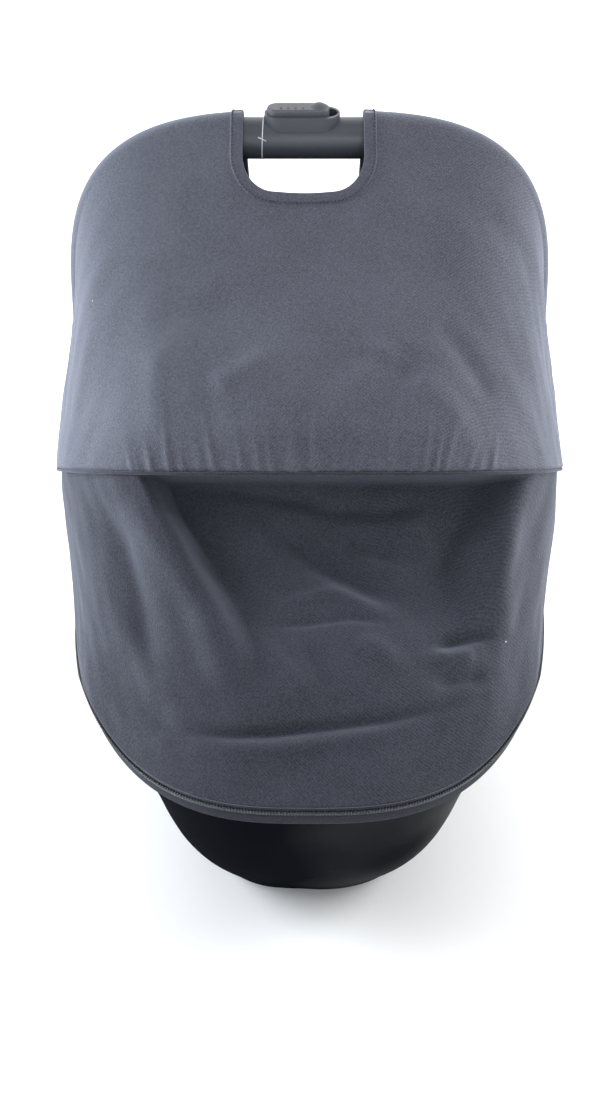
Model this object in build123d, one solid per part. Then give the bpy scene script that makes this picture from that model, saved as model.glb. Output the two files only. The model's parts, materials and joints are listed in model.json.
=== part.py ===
"""Lie-flat infant car seat with a closed hood and a zipped apron.

Millimetres. +Y points to the head end, -Y to the foot end, +Z is up.
The origin lies on the floor, under the middle of the seat.
"""

import os
from math import copysign, cos, hypot, pi, radians, sin

from build123d import *

# Hull: height, half width and half length of each level, from the floor pan to above the rim.
HULL_LEVELS = (
    (8.0, 109.3, 262.3),
    (20.0, 117.8, 273.7),
    (50.0, 135.7, 302.6),
    (100.0, 149.5, 335.3),
    (150.0, 167.8, 363.2),
    (200.0, 189.8, 388.9),
    (260.0, 197.0, 393.2),
    (320.0, 199.5, 393.2),
)
HULL_POWER = 2.89
HEAD_SHARE = 0.9465
HULL_FLOOR = 8.0
WALL = 4.0
RIM_FOOT_Z = 155.2
RIM_RISE = 144.8
RIM_CURVE = 0.5
RIM_HALF_LENGTH = 396.0
RIM_CLEAR = 3.0
COVER_EDGE = 3.5

# Liner and mattress inside the hull.
LINER_GAP = 6.0
LINER_INSIDE = 20.0
LINER_FLOOR = 16.0
LINER_BED = 35.0
LINER_DROP = 22.0
MATTRESS_TOP = 82.0

# Handle: an arch in the plane y = HUB_Y that turns about the hub axis.
HUB_Y = -10.0
HUB_Z = 306.0
TUBE_RADIUS = 16.5
TUBE_WALL = 2.2
TUBE_HALF_SPAN = 187.0
TUBE_TOP_Z = 574.0
TUBE_BEND = 110.0
TUBE_END_Z = 356.0
GEAR_RADIUS = 26.0
CAP_RADIUS = 32.0
PIN_RADIUS = 6.0
RUNNING_FIT = 0.05
GAP = 0.3
HANDLE_BACK_ANGLE = 60.0

# Layers of the hub along X, on the +X side.
BRACKET_X = (180.0, 186.0)
GEAR_X = (186.0, 197.0)
CAP_X = (197.3, 204.9)
FRONT_EAR_X = (205.8, 207.6)
REAR_EAR_X = (207.9, 209.7)
PIN_HEAD_X = (210.0, 211.4)
RIVET_Z = 216.0
RIVET_SPREAD = 14.0

# Slide button and its bezel on top of the handle, tipped towards the foot end.
SLIDE_TILT = 20.0
SLIDE_TRAVEL = 6.5
BEZEL_LENGTH = 62.0
BEZEL_WIDTH = 27.0
BEZEL_X = -6.0
BUTTON_LENGTH = 51.0
BUTTON_WIDTH = 17.0

# Fabric: the arch over the handle, the hem of the hood and the edge of the apron.
CLOTH = 2.0
ARCH_HALF_WIDTH = 206.0
ARCH_RISE = 170.5
ARCH_Z = 424.0
ARCH_POWER = 3.2
ARCH_FOOT_Z = 284.0
ARCH_FLARE = 6.3
WRAP_RADIUS = 18.0
HEM_HALF_WIDTH = 215.0
HEM_REACH = 168.0
HEM_POWER = 2.8
HEM_Y = -45.0
HEM_SIDE_Z = 300.0
HEM_RISE = 52.0
HAND_X = -5.0
HAND_HALF_WIDTH = 50.0
HAND_BOTTOM_Z = 537.0
HAND_CORNER = 28.0
HAND_REAR_Y = 90.0
APRON_ANGLE = 88.0
APRON_SAG = 10.0
APRON_HOLLOW = 24.0

# Bars under the hull that a base or a pram hooks on to.
DOCK_Y = 225.0
DOCK_Z = 17.0
DOCK_RADIUS = 4.5
DOCK_WINDOW_WIDTH = 84.0
DOCK_WINDOW_LENGTH = 28.0

# Release lever at the head end.
LEVER_Y = 370.0
LEVER_Z = 152.0
COLUMNS = 49


def block(x0, x1, y0, y1, z0, z1):
    """Box between two corners."""
    centre = Pos((x0 + x1) / 2, (y0 + y1) / 2, (z0 + z1) / 2)
    return centre * Box(abs(x1 - x0), abs(y1 - y0), abs(z1 - z0))


def disc(x0, x1, y, z, radius):
    """Cylinder along X."""
    return Pos((x0 + x1) / 2, y, z) * Rot(0, 90, 0) * Cylinder(radius, abs(x1 - x0))


def column(x, y, z0, z1, radius):
    """Cylinder along Z."""
    return Pos(x, y, (z0 + z1) / 2) * Cylinder(radius, abs(z1 - z0))


def soft_block(x0, x1, y0, y1, z0, z1, radius):
    """Box between two corners with every edge rounded."""
    box = block(x0, x1, y0, y1, z0, z1)
    return fillet(box.edges(), radius)


def superellipse(angle, half_x, half_y, power):
    """Point of a superellipse, angle 0 at the foot end and 90 degrees at the +X side."""
    s = sin(angle)
    c = cos(angle)
    x = half_x * copysign(abs(s) ** (2 / power), s)
    y = -half_y * copysign(abs(c) ** (2 / power), c)
    return x, y


def hull_size(z):
    """Half width and half length of the hull at a height."""
    for low, high in zip(HULL_LEVELS, HULL_LEVELS[1:]):
        if z <= high[0]:
            break
    t = (z - low[0]) / (high[0] - low[0])
    return low[1] + t * (high[1] - low[1]), low[2] + t * (high[2] - low[2])


def hull_outline(angle, half_x, half_y):
    """Point of an outline of the hull, whose head half is a little shorter than its foot half."""
    x, y = superellipse(angle, half_x, half_y, HULL_POWER)
    return x, y * HEAD_SHARE if y > 0 else y


def hull_slab(grow, heights):
    """Solid between level outlines of the hull, each moved outwards by grow."""
    outlines = []
    for z in heights:
        half_x, half_y = hull_size(z)
        points = []
        for step in range(32):
            x, y = hull_outline(2 * pi * step / 32, half_x + grow, half_y + grow)
            points.append((x, y, z))
        outlines.append(Face(Wire([Spline(*points, periodic=True).edge()])))
    return loft(outlines)


def hull(grow, floor):
    """The full-height hull body, with its lowest outline at floor."""
    upper = [level[0] for level in HULL_LEVELS if level[0] > floor + 7]
    return hull_slab(grow, [floor] + upper)


def rim_height(y):
    """Height of the rim, which rises from the foot end to the head end."""
    t = (y + RIM_HALF_LENGTH) / (2 * RIM_HALF_LENGTH)
    return RIM_FOOT_Z + RIM_RISE * t * (1 + RIM_CURVE * (1 - t))


def above_rim(lift):
    """Everything above the rim curve raised by lift."""
    reach = 460.0
    t = (RIM_HALF_LENGTH - reach) / (2 * RIM_HALF_LENGTH)
    slope = RIM_RISE * (1 + RIM_CURVE - 2 * RIM_CURVE * t) / (2 * RIM_HALF_LENGTH)
    foot = (0, -reach, rim_height(-reach) + lift)
    middle = (0, 0, rim_height(-reach) + slope * reach + lift)
    head = (0, reach, rim_height(reach) + lift)
    curve = Bezier(foot, middle, head).edge()
    top = Polyline(head, (0, reach, 500), (0, -reach, 500), foot)
    return extrude(Face(Wire([curve] + list(top.edges()))), 300, dir=(1, 0, 0), both=True)


def rim_point(angle, outward, upward):
    """Point beside the rim, at a distance outside the hull and above the rim."""
    z = RIM_FOOT_Z
    for _ in range(6):
        half_x, half_y = hull_size(z)
        x, y = hull_outline(angle, half_x + outward, half_y + outward)
        z = rim_height(y) + upward
    return x, y, z


def angles(start, stop, count=COLUMNS):
    """Evenly spaced angles in radians, from limits in degrees."""
    return [radians(start + (stop - start) * i / (count - 1)) for i in range(count)]


def grid_normal(rows, i, j, outward):
    """Unit normal of a grid of points at one point, on the outward side."""
    along = Vector(rows[i][min(j + 1, len(rows[i]) - 1)]) - Vector(rows[i][max(j - 1, 0)])
    across = Vector(rows[min(i + 1, len(rows) - 1)][j]) - Vector(rows[max(i - 1, 0)][j])
    normal = along.cross(across).normalized()
    middle = Vector(rows[i][len(rows[i]) // 2])
    reference = Vector(rows[i][len(rows[i]) // 2 + 1]) - middle
    below = Vector(rows[min(i + 1, len(rows) - 1)][len(rows[i]) // 2])
    above = Vector(rows[max(i - 1, 0)][len(rows[i]) // 2])
    side = reference.cross(below - above).dot(Vector(outward))
    return normal if side > 0 else -normal


def panel(rows, thickness, outward):
    """Sheet of even thickness whose inner face passes through a grid of points."""
    outer_rows = []
    for i, row in enumerate(rows):
        normals = [grid_normal(rows, i, j, outward) for j in range(len(row))]
        outer_rows.append([tuple(Vector(p) + n * thickness) for p, n in zip(row, normals)])
    inner = [Spline(*row).edge() for row in rows]
    outer = [Spline(*row).edge() for row in outer_rows]
    pairs = list(zip(inner, inner[1:])) + list(zip(outer, outer[1:]))
    pairs += [(inner[0], outer[0]), (inner[-1], outer[-1])]
    for end in (0, -1):
        near = [row[end] for row in rows]
        far = [row[end] for row in outer_rows]
        for a, b, c, d in zip(near, near[1:], far, far[1:]):
            pairs.append((Edge.make_line(a, b), Edge.make_line(c, d)))
    return Solid(Shell([Face.make_surface_from_curves(a, b) for a, b in pairs]))


def both_sides(part):
    """The +X part and its mirror image."""
    return part, mirror(part, about=Plane.YZ)


# ---- hull and what is fixed to it ----


def dock_space(end, width, length, top):
    """Upright block round a dock bar, at the foot end (-1) or the head end (1)."""
    y = end * DOCK_Y
    return block(-width / 2, width / 2, y - length / 2, y + length / 2, 0, top)


def outer_shell():
    shell = hull(0, HULL_FLOOR) - hull(-WALL, HULL_FLOOR + WALL) - above_rim(0)
    for side in (-1, 1):
        for offset in (-RIVET_SPREAD, RIVET_SPREAD):
            shell -= disc(side * 180, side * 215, HUB_Y + offset, RIVET_Z, 3 + RUNNING_FIT)
        shell -= dock_space(side, DOCK_WINDOW_WIDTH, DOCK_WINDOW_LENGTH, 14)
    return shell


def cover_edge():
    """Trim that wraps the rim all round, in a foot half and a head half."""
    halves = []
    for start, outward in ((-89.9, (0, -1, 0)), (90.1, (0, 1, 0))):
        around = angles(start, start + 179.8)
        rows = [[rim_point(a, RIM_CLEAR, lift) for a in around] for lift in (-16, -6.5, 3)]
        halves.append(panel(rows, COVER_EDGE, outward))
    return Compound(halves)


def zip_chain():
    around = angles(-APRON_ANGLE, APRON_ANGLE)
    rows = [[rim_point(a, RIM_CLEAR, lift) for a in around] for lift in (3.6, 7, 10.4)]
    return panel(rows, 2.2, (0, -1, 0))


def zip_slider():
    x, y, z = rim_point(radians(APRON_ANGLE - 3), RIM_CLEAR + 2.6, 8)
    body = soft_block(x, x + 3.4, y - 7, y + 7, z - 3.2, z + 3.2, 1)
    pull = soft_block(x + 3.2, x + 4.8, y - 30, y - 4, z - 2.8, z + 2.8, 0.7)
    return body + pull


def foam_liner():
    liner = hull(-LINER_GAP, LINER_FLOOR) - hull(-LINER_INSIDE, LINER_BED) - above_rim(-LINER_DROP)
    for side in (-1, 1):
        liner -= block(side * 172, side * 210, HUB_Y - 36, HUB_Y + 36, 196, 400)
        liner -= dock_space(side, DOCK_WINDOW_WIDTH + 20, DOCK_WINDOW_LENGTH + 4, 26)
    return liner


def mattress():
    return hull_slab(-LINER_INSIDE - 2, (LINER_BED + 1, 58, MATTRESS_TOP))


def base_plate():
    plate = block(-70, 70, -200, 200, 12.4, 15.4)
    return fillet(plate.edges().filter_by(Axis.Z), 20)


def rubber_feet():
    feet = []
    for x in (-60, 60):
        for y in (-185, 185):
            feet.append(Pos(x, y, 4) * extrude(SlotOverall(64, 26, rotation=90), 4, both=True))
    return Compound(feet)


def dock_bar(end):
    return disc(-50, 50, end * DOCK_Y, DOCK_Z, DOCK_RADIUS)


def dock_brackets():
    """Four ears on the floor of the hull, beside its two windows, that hold the dock bars."""
    ears = []
    for end in (-1, 1):
        y = end * DOCK_Y
        for side in (-1, 1):
            ear = block(side * 43, side * 49, y - 9, y + 9, HULL_FLOOR + WALL, 24)
            ears.append(ear - disc(-60, 60, y, DOCK_Z, DOCK_RADIUS + RUNNING_FIT))
    return Compound([solid for ear in ears for solid in ear.solids()])


def belt_guide():
    """Closed loop on the side of the hull that the vehicle belt runs through."""
    loop = soft_block(172, 207, 150, 210, 210, 252, 3)
    slot = block(192, 201, 140, 220, 217, 245)
    return loop - hull(0.3, HULL_FLOOR) - slot


def hub_bracket():
    plate = disc(*BRACKET_X, HUB_Y, HUB_Z, 30) + block(*BRACKET_X, HUB_Y - 26, HUB_Y + 26, RIVET_Z - 10, HUB_Z)
    plate -= disc(170, 200, HUB_Y, HUB_Z, PIN_RADIUS)
    for offset in (-RIVET_SPREAD, RIVET_SPREAD):
        plate -= disc(170, 200, HUB_Y + offset, RIVET_Z, 3 + RUNNING_FIT)
    return plate


def bracket_rivets():
    """Rivets through the two brackets and the hull wall."""
    rivets = []
    for side in (-1, 1):
        for offset in (-RIVET_SPREAD, RIVET_SPREAD):
            y = HUB_Y + offset
            shank = disc(side * 178, side * 195.6, y, RIVET_Z, 3)
            inner_head = disc(side * 177, side * 179.9, y, RIVET_Z, 6)
            outer_head = disc(side * 195.2, side * 197, y, RIVET_Z, 6)
            rivets.append(shank + inner_head + outer_head)
    return Compound(rivets)


def hub_gear():
    """Fixed ring with a window that the lock bolt runs in, whose ends stop the handle."""
    gear = disc(*GEAR_X, HUB_Y, HUB_Z, GEAR_RADIUS)
    notch = block(GEAR_X[0] - 1, GEAR_X[1] + 1, -6.3, 6.3, 20, 40)
    for turn in (0, 15, 30, 45, HANDLE_BACK_ANGLE):
        gear -= Pos(0, HUB_Y, HUB_Z) * Rot(-turn, 0, 0) * notch
    return gear - disc(170, 200, HUB_Y, HUB_Z, PIN_RADIUS)


def hub_pin():
    inner_head = disc(BRACKET_X[0] - 4, BRACKET_X[0] - 0.1, HUB_Y, HUB_Z, 10)
    outer_head = disc(*PIN_HEAD_X, HUB_Y, HUB_Z, 9)
    return disc(BRACKET_X[0] - 3, PIN_HEAD_X[1], HUB_Y, HUB_Z, PIN_RADIUS) + inner_head + outer_head


# ---- handle ----


def tube_path(end_z):
    corners = (
        (TUBE_HALF_SPAN, HUB_Y, end_z),
        (TUBE_HALF_SPAN, HUB_Y, TUBE_TOP_Z),
        (-TUBE_HALF_SPAN, HUB_Y, TUBE_TOP_Z),
        (-TUBE_HALF_SPAN, HUB_Y, end_z),
    )
    return FilletPolyline(*corners, radius=TUBE_BEND)


def handle_tube():
    path = tube_path(TUBE_END_Z + 0.1)
    start = Plane(origin=path @ 0, z_dir=path % 0)
    ring = Circle(TUBE_RADIUS) - Circle(TUBE_RADIUS - TUBE_WALL)
    return sweep(start * ring, path=path)


def release_cable():
    """Pull cable inside the tube, from one hub to the other."""
    path = tube_path(TUBE_END_Z + 6)
    start = Plane(origin=path @ 0, z_dir=path % 0)
    return sweep(start * Circle(2), path=path)


def hub_cap():
    """Turning half of the hub, with the socket for the tube and the guide of the lock bolt."""
    plate = disc(*CAP_X, HUB_Y, HUB_Z, CAP_RADIUS) + block(*CAP_X, HUB_Y - 20, HUB_Y + 20, HUB_Z, 384)
    socket = block(168, CAP_X[1], HUB_Y - 20, HUB_Y + 20, 352, 384)
    cap = plate + socket
    for side in (-1, 1):
        cap += block(190.9, CAP_X[0], HUB_Y + side * 6.3, HUB_Y + side * 10.5, 334, 352)
    cap -= column(TUBE_HALF_SPAN, HUB_Y, TUBE_END_Z, 400, TUBE_RADIUS + RUNNING_FIT)
    return cap - disc(190, 215, HUB_Y, HUB_Z, PIN_RADIUS + RUNNING_FIT)


def lock_bolt():
    return block(190.9, 197, HUB_Y - 6, HUB_Y + 6, 326.4, 344)


def lock_spring():
    return column(194, HUB_Y, 344.2, 351.8, 2.2)


def slide_frame():
    """Plane on the handle axis, tipped towards the foot end."""
    tilt = radians(SLIDE_TILT)
    return Plane(origin=(0, HUB_Y, TUBE_TOP_Z), x_dir=(1, 0, 0), z_dir=(0, -sin(tilt), cos(tilt)))


def capsule(x, length, width, z0, z1):
    """Upright capsule-shaped block at x, between two heights."""
    return Pos(x, 0, z0) * extrude(SlotOverall(length, width), z1 - z0)


def slider_bezel():
    body = capsule(BEZEL_X, BEZEL_LENGTH, BEZEL_WIDTH, 10, 21.5)
    pocket = capsule(BEZEL_X, BUTTON_LENGTH + SLIDE_TRAVEL + 0.6, BUTTON_WIDTH + 0.6, 5, 25)
    tube = Rot(0, 90, 0) * Cylinder(TUBE_RADIUS + RUNNING_FIT, 120)
    return slide_frame() * (body - pocket - tube)


def slider_button():
    x = BEZEL_X - SLIDE_TRAVEL / 2
    body = capsule(x, BUTTON_LENGTH, BUTTON_WIDTH, 17, 26.5)
    body = fillet(body.edges().group_by(Axis.Z)[-1], 1.5)
    hump = Pos(x + 17, 0, 20.5) * Sphere(9)
    hump &= capsule(x, BUTTON_LENGTH, BUTTON_WIDTH, 17, 40)
    button = body + hump
    for step in range(4):
        button += Pos(x - 14 + 6 * step, 0, 26.6) * Box(1.6, 9, 0.8)
    button -= Pos(x, 0, 19.2) * Box(26, 6, 4.6)
    return slide_frame() * button


def slider_spring():
    x = BEZEL_X - SLIDE_TRAVEL / 2
    return slide_frame() * Pos(x, 0, 19.2) * Rot(0, 90, 0) * Cylinder(1.8, 24)


# ---- hood and apron ----


def resample(points, count):
    """Points evenly spaced along a polyline."""
    lengths = [0.0]
    for a, b in zip(points, points[1:]):
        lengths.append(lengths[-1] + hypot(*(p - q for p, q in zip(a, b))))
    result = []
    index = 0
    for step in range(count):
        target = lengths[-1] * step / (count - 1)
        while index < len(points) - 2 and lengths[index + 1] < target:
            index += 1
        t = (target - lengths[index]) / (lengths[index + 1] - lengths[index])
        result.append(tuple(p + t * (q - p) for p, q in zip(points[index], points[index + 1])))
    return result


def arch_outline():
    """Inner face of the fabric in the plane of the handle, from the -X hub to the +X hub."""
    side = []
    for step in range(12):
        z = ARCH_FOOT_Z + (ARCH_Z - ARCH_FOOT_Z) * step / 12
        flare = min(1.0, max(0.0, (450 - z) / 100))
        side.append((ARCH_HALF_WIDTH + ARCH_FLARE * flare * flare * (3 - 2 * flare), z))
    crown = []
    for angle in angles(-90, 90, 73):
        x, drop = superellipse(angle, ARCH_HALF_WIDTH, ARCH_RISE, ARCH_POWER)
        crown.append((x, ARCH_Z - drop))
    left = [(-x, z) for x, z in side]
    return resample(left + crown + side[::-1], COLUMNS)


def outline_normals(outline):
    """Unit outward normals of an outline that runs over the top from -X to +X."""
    normals = []
    for index in range(len(outline)):
        before = outline[max(index - 1, 0)]
        after = outline[min(index + 1, len(outline) - 1)]
        run = after[0] - before[0]
        rise = after[1] - before[1]
        size = hypot(run, rise)
        normals.append((-rise / size, run / size))
    return normals


def hem_point(angle, grow=0.0, lift=0.0):
    """Point of the hem of the hood, grown outwards and lifted."""
    x, y = superellipse(angle, HEM_HALF_WIDTH + grow, HEM_REACH + grow, HEM_POWER)
    return x, HEM_Y + y, HEM_SIDE_Z + HEM_RISE * -y / HEM_REACH + lift


def hood_rows(edge, forward, wrap_angle, sag, bulge):
    """Grid from the arch, round the handle tube and on to an edge curve."""
    outline = arch_outline()
    normals = outline_normals(outline)
    rows = []
    for angle in angles(0, wrap_angle, 4):
        row = []
        for (x, z), (nx, nz) in zip(outline, normals):
            hold = min(1.0, max(0.0, (z - 400) / 60))
            sink = WRAP_RADIUS * (1 - cos(angle)) * hold
            reach = forward * (WRAP_RADIUS * sin(angle) + GAP)
            row.append((x - sink * nx, HUB_Y + reach, z - sink * nz))
        rows.append(row)
    start = rows[-1]
    for step in range(1, 11):
        t = step / 10
        row = []
        for index, (a, b) in enumerate(zip(start, edge)):
            across = index / (COLUMNS - 1)
            hump = 4 * t * (1 - t)
            x = a[0] + t * (b[0] - a[0]) - bulge * hump * cos(pi * across)
            row.append((x, a[1] + t * (b[1] - a[1]), a[2] + t * (b[2] - a[2]) - sag * hump * sin(pi * across)))
        rows.append(row)
    return rows


def canopy_front():
    """Front of the hood, from the handle down to the hem, with the hand cut-out."""
    edge = resample([hem_point(a) for a in angles(-90, 90, 121)], COLUMNS)
    sheet = panel(hood_rows(edge, -1, 50, 8, 2), CLOTH, (0, -1, 0.5))
    opening = RectangleRounded(2 * HAND_HALF_WIDTH, 160, HAND_CORNER)
    frame = Plane(origin=(HAND_X, 20, HAND_BOTTOM_Z + 80), x_dir=(1, 0, 0), z_dir=(0, -1, 0))
    return sheet - extrude(frame * opening, 120)


def canopy_rear():
    """Rear of the hood, from the handle back to the head rim, with its own hand cut-out."""
    edge = resample([rim_point(a, 4, 5) for a in angles(268, 92, 121)], COLUMNS)
    sheet = panel(hood_rows(edge, 1, 36, 10, 9), CLOTH, (0, 0.6, 1))
    opening = Pos(HAND_X, HAND_REAR_Y - 80) * RectangleRounded(2 * HAND_HALF_WIDTH, 160, HAND_CORNER)
    return sheet - extrude(Pos(0, 0, 480) * opening, 140)


def apron():
    """Fabric cover from the zip up to the inside of the hem, hollow below the hem."""
    around = angles(-APRON_ANGLE, APRON_ANGLE)
    low = [rim_point(a, RIM_CLEAR, 11.6) for a in around]
    high = [hem_point(a, -5, 4) for a in around]
    rows = []
    for step in range(13):
        t = step / 12
        row = []
        for angle, a, b in zip(around, low, high):
            sag = APRON_SAG * 4 * t * (1 - t) * cos(angle)
            sag += APRON_HOLLOW * 6.75 * t * t * (1 - t) * cos(angle) ** 2
            row.append((a[0] + t * (b[0] - a[0]), a[1] + t * (b[1] - a[1]) + sag, a[2] + t * (b[2] - a[2]) - sag))
        rows.append(row)
    return panel(rows, CLOTH, (0, -0.5, 1))


def bow(ear_x, reach, elevation, power):
    """Flat bent strip with an ear at each hub."""
    tilt = radians(elevation)
    middle = (ear_x[0] + ear_x[1]) / 2
    rows = []
    for shift in (-5, 0, 5):
        row = []
        for angle in angles(-90, 90):
            x, y = superellipse(angle, middle - 0.9, reach, power)
            row.append((x, HUB_Y + y * cos(tilt) - shift * sin(tilt), HUB_Z - y * sin(tilt) - shift * cos(tilt)))
        rows.append(row)
    strip = panel(rows, 1.8, (0, -1, 0))
    for side in (-1, 1):
        strip += disc(side * ear_x[0], side * ear_x[1], HUB_Y, HUB_Z, 14)
        strip -= disc(side * 190, side * 215, HUB_Y, HUB_Z, PIN_RADIUS + RUNNING_FIT)
    return strip


def front_bow():
    return bow(FRONT_EAR_X, 192, 16, 3.2)


def rear_bow():
    return Pos(0, 2 * HUB_Y, 0) * mirror(bow(REAR_EAR_X, 225, 40, 2.8), about=Plane.XZ)


# ---- harness and bed ----


def head_pillow():
    return soft_block(-72, 72, 172, 262, MATTRESS_TOP + GAP, 106, 8)


def shoulder_placement():
    """Frame of a shoulder strap, which closes in towards the buckle."""
    return Pos(38, 86, MATTRESS_TOP + GAP) * Rot(0, 0, -12)


def shoulder_strap():
    return shoulder_placement() * block(-18, 18, -72, 72, 0, 1.5)


def shoulder_pad():
    return shoulder_placement() * soft_block(-25, 25, -40, 50, 1.8, 10, 3)


def lap_strap():
    return block(30, 118, -44, -14, MATTRESS_TOP + GAP, MATTRESS_TOP + GAP + 1.5)


def crotch_pad():
    return block(-28, 28, -125, -3, MATTRESS_TOP + GAP, MATTRESS_TOP + 2)


def crotch_strap():
    return block(-19, 19, -122, -68, MATTRESS_TOP + 2.3, MATTRESS_TOP + 3.8)


def buckle_housing():
    body = soft_block(-26, 26, -66, -2, MATTRESS_TOP + 2.3, 104, 4)
    body -= block(-24, 24, -24, 0, 93, 96)
    return body - block(-13, 13, -52, -32, 92, 110)


def buckle_button():
    return block(-12.7, 12.7, -51.7, -32.3, 98, 105.5)


def buckle_spring():
    return column(0, -42, 92.2, 97.8, 4)


def buckle_tongue():
    plate = block(1, 23, -21, 8, 93.5, 95.5)
    return plate - column(12, 2, 90, 99, 4)


def adjuster_housing():
    body = soft_block(-22, 22, -222, -186, MATTRESS_TOP + GAP, 98, 3)
    return body - block(-10, 10, -214, -194, 88, 100)


def adjuster_button():
    return block(-9.7, 9.7, -213.7, -194.3, 92.5, 99.5)


def adjuster_spring():
    return column(0, -204, 88.2, 92.3, 4)


def adjuster_strap():
    return block(-12, 12, -262, -222.4, MATTRESS_TOP + GAP, MATTRESS_TOP + GAP + 1.5)


# ---- release of the seat from its base ----


def latch_carriers():
    carriers = []
    for side in (-1, 1):
        body = block(side * 20, side * 72, -22, 22, 1.6, 8)
        carriers.append(body - block(side * 10, side * 80, -15.3, 15.3, 2.9, 6.3))
    return Compound([solid for carrier in carriers for solid in carrier.solids()])


def base_latch():
    return block(36, 82, -15, 15, 3.2, 6)


def lever_lugs():
    """Two ears on the head end of the hull that carry the lever pin."""
    body = hull(0.2, HULL_FLOOR)
    lugs = []
    for side in (-1, 1):
        lug = block(side * 36, side * 42, LEVER_Y - 48, LEVER_Y + 6, LEVER_Z - 9, LEVER_Z + 9) - body
        lug -= disc(-50, 50, LEVER_Y, LEVER_Z, 3 + RUNNING_FIT)
        lugs.append(max(lug.solids(), key=lambda solid: solid.center().Y))
    return Compound(lugs)


def lever_pin():
    return disc(-42, 42, LEVER_Y, LEVER_Z, 3)


def release_lever():
    barrel = disc(-35.5, 35.5, LEVER_Y, LEVER_Z, 6)
    paddle = block(-35.5, 35.5, LEVER_Y - 2, LEVER_Y + 4, LEVER_Z - 54, LEVER_Z - 2)
    return barrel + paddle - disc(-50, 50, LEVER_Y, LEVER_Z, 3 + RUNNING_FIT)


def write_parts():
    os.makedirs("parts", exist_ok=True)
    single = (
        outer_shell, cover_edge, zip_chain, zip_slider, foam_liner, mattress, base_plate, rubber_feet,
        dock_brackets, bracket_rivets, handle_tube, release_cable, slider_bezel, slider_button, slider_spring,
        canopy_front, canopy_rear, apron, front_bow, rear_bow, head_pillow, crotch_pad, crotch_strap,
        buckle_housing, buckle_button, buckle_spring, adjuster_housing, adjuster_button,
        adjuster_spring, adjuster_strap, latch_carriers, lever_lugs, lever_pin, release_lever,
    )
    paired = (
        belt_guide, hub_bracket, hub_gear, hub_pin, hub_cap, lock_bolt, lock_spring,
        shoulder_strap, shoulder_pad, lap_strap, buckle_tongue, base_latch,
    )
    parts = {make.__name__: make() for make in single}
    parts["dock_bar_foot"] = dock_bar(-1)
    parts["dock_bar_head"] = dock_bar(1)
    for make in paired:
        right, left = both_sides(make())
        parts[make.__name__ + "_right"] = right
        parts[make.__name__ + "_left"] = left
    for name, part in parts.items():
        export_step(part, f"parts/{name}.step")


write_parts()
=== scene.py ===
"""Looks of the lie-flat infant car seat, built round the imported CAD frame. Metres, +Y to the head end."""

import json
import math

import bmesh
import bpy
import numpy as np
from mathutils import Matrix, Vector
from mathutils.bvhtree import BVHTree


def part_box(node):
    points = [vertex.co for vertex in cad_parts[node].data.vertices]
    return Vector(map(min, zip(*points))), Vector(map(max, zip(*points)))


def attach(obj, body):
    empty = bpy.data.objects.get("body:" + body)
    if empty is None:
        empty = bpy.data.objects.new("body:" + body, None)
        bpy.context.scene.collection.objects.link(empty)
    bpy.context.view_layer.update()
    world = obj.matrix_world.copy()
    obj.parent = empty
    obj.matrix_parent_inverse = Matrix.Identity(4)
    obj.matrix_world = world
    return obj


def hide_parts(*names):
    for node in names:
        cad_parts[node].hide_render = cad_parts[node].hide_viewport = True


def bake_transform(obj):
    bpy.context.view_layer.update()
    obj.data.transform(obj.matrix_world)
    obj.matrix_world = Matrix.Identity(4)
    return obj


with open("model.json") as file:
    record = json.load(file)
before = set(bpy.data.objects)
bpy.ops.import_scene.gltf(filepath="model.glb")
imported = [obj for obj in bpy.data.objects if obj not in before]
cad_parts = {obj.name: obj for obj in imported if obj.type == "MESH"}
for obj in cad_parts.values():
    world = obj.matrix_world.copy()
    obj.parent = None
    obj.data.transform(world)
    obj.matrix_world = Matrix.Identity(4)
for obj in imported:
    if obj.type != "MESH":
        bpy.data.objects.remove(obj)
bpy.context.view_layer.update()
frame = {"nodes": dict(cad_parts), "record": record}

SEAT = "seat"
HANDLE = "handle"
HOOP = "front_hoop"

# Driving sizes in metres, where a power, a share and RIM_CURVE are plain numbers. The rim and the hull
# have the CAD's own sizes. Those of the arch, the hem and the hand cut-outs are within about 1 mm of the
# CAD's, and the hollow of the apron is deeper than the CAD's.
# A hull level is its height, its half width and its reach to the foot end. Its reach to the head end is
# HEAD_SHARE of that.
HUB_Y = -0.010
TUBE_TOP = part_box("handle_tube")[1].z
ARCH_HALF_WIDTH = 0.2065
ARCH_Z = 0.424
ARCH_TOP = TUBE_TOP + 0.0045
ARCH_POWER = 3.2
ARCH_FOOT = 0.284
ARCH_FLARE = 0.0063
WRAP_RADIUS = 0.0185
HEM_HALF_WIDTH = 0.2160
HEM_REACH = 0.169
HEM_POWER = 2.8
HEM_Y = -0.045
HEM_SIDE_Z = 0.300
HEM_RISE = 0.052
HAND_CENTRE = -0.0050
HAND_HALF_WIDTH = 0.0500
HAND_CORNER = 0.027
HAND_BOTTOM = 0.5365
HAND_REAR = 0.090
HAND_TOP = 0.604
HAND_NEAR = HUB_Y - 0.020
CLOTH = 0.0018
APRON_CORNER = (0.2133, -0.004, 0.3045)
APRON_OUT = 0.0038
APRON_CORNER_OUT = 0.0030
APRON_UP = 0.0112
APRON_INSIDE_HEM = 0.005
RIM_HALF_LENGTH = 0.396
RIM_FOOT_Z = 0.1552
RIM_RISE = 0.1448
RIM_CURVE = 0.5
HULL_POWER = 2.89
HEAD_SHARE = 0.9465
HULL_LEVELS = (
    (0.100, 0.1495, 0.3353),
    (0.150, 0.1678, 0.3632),
    (0.200, 0.1898, 0.3889),
    (0.260, 0.1970, 0.3932),
    (0.320, 0.1995, 0.3932),
)

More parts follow.
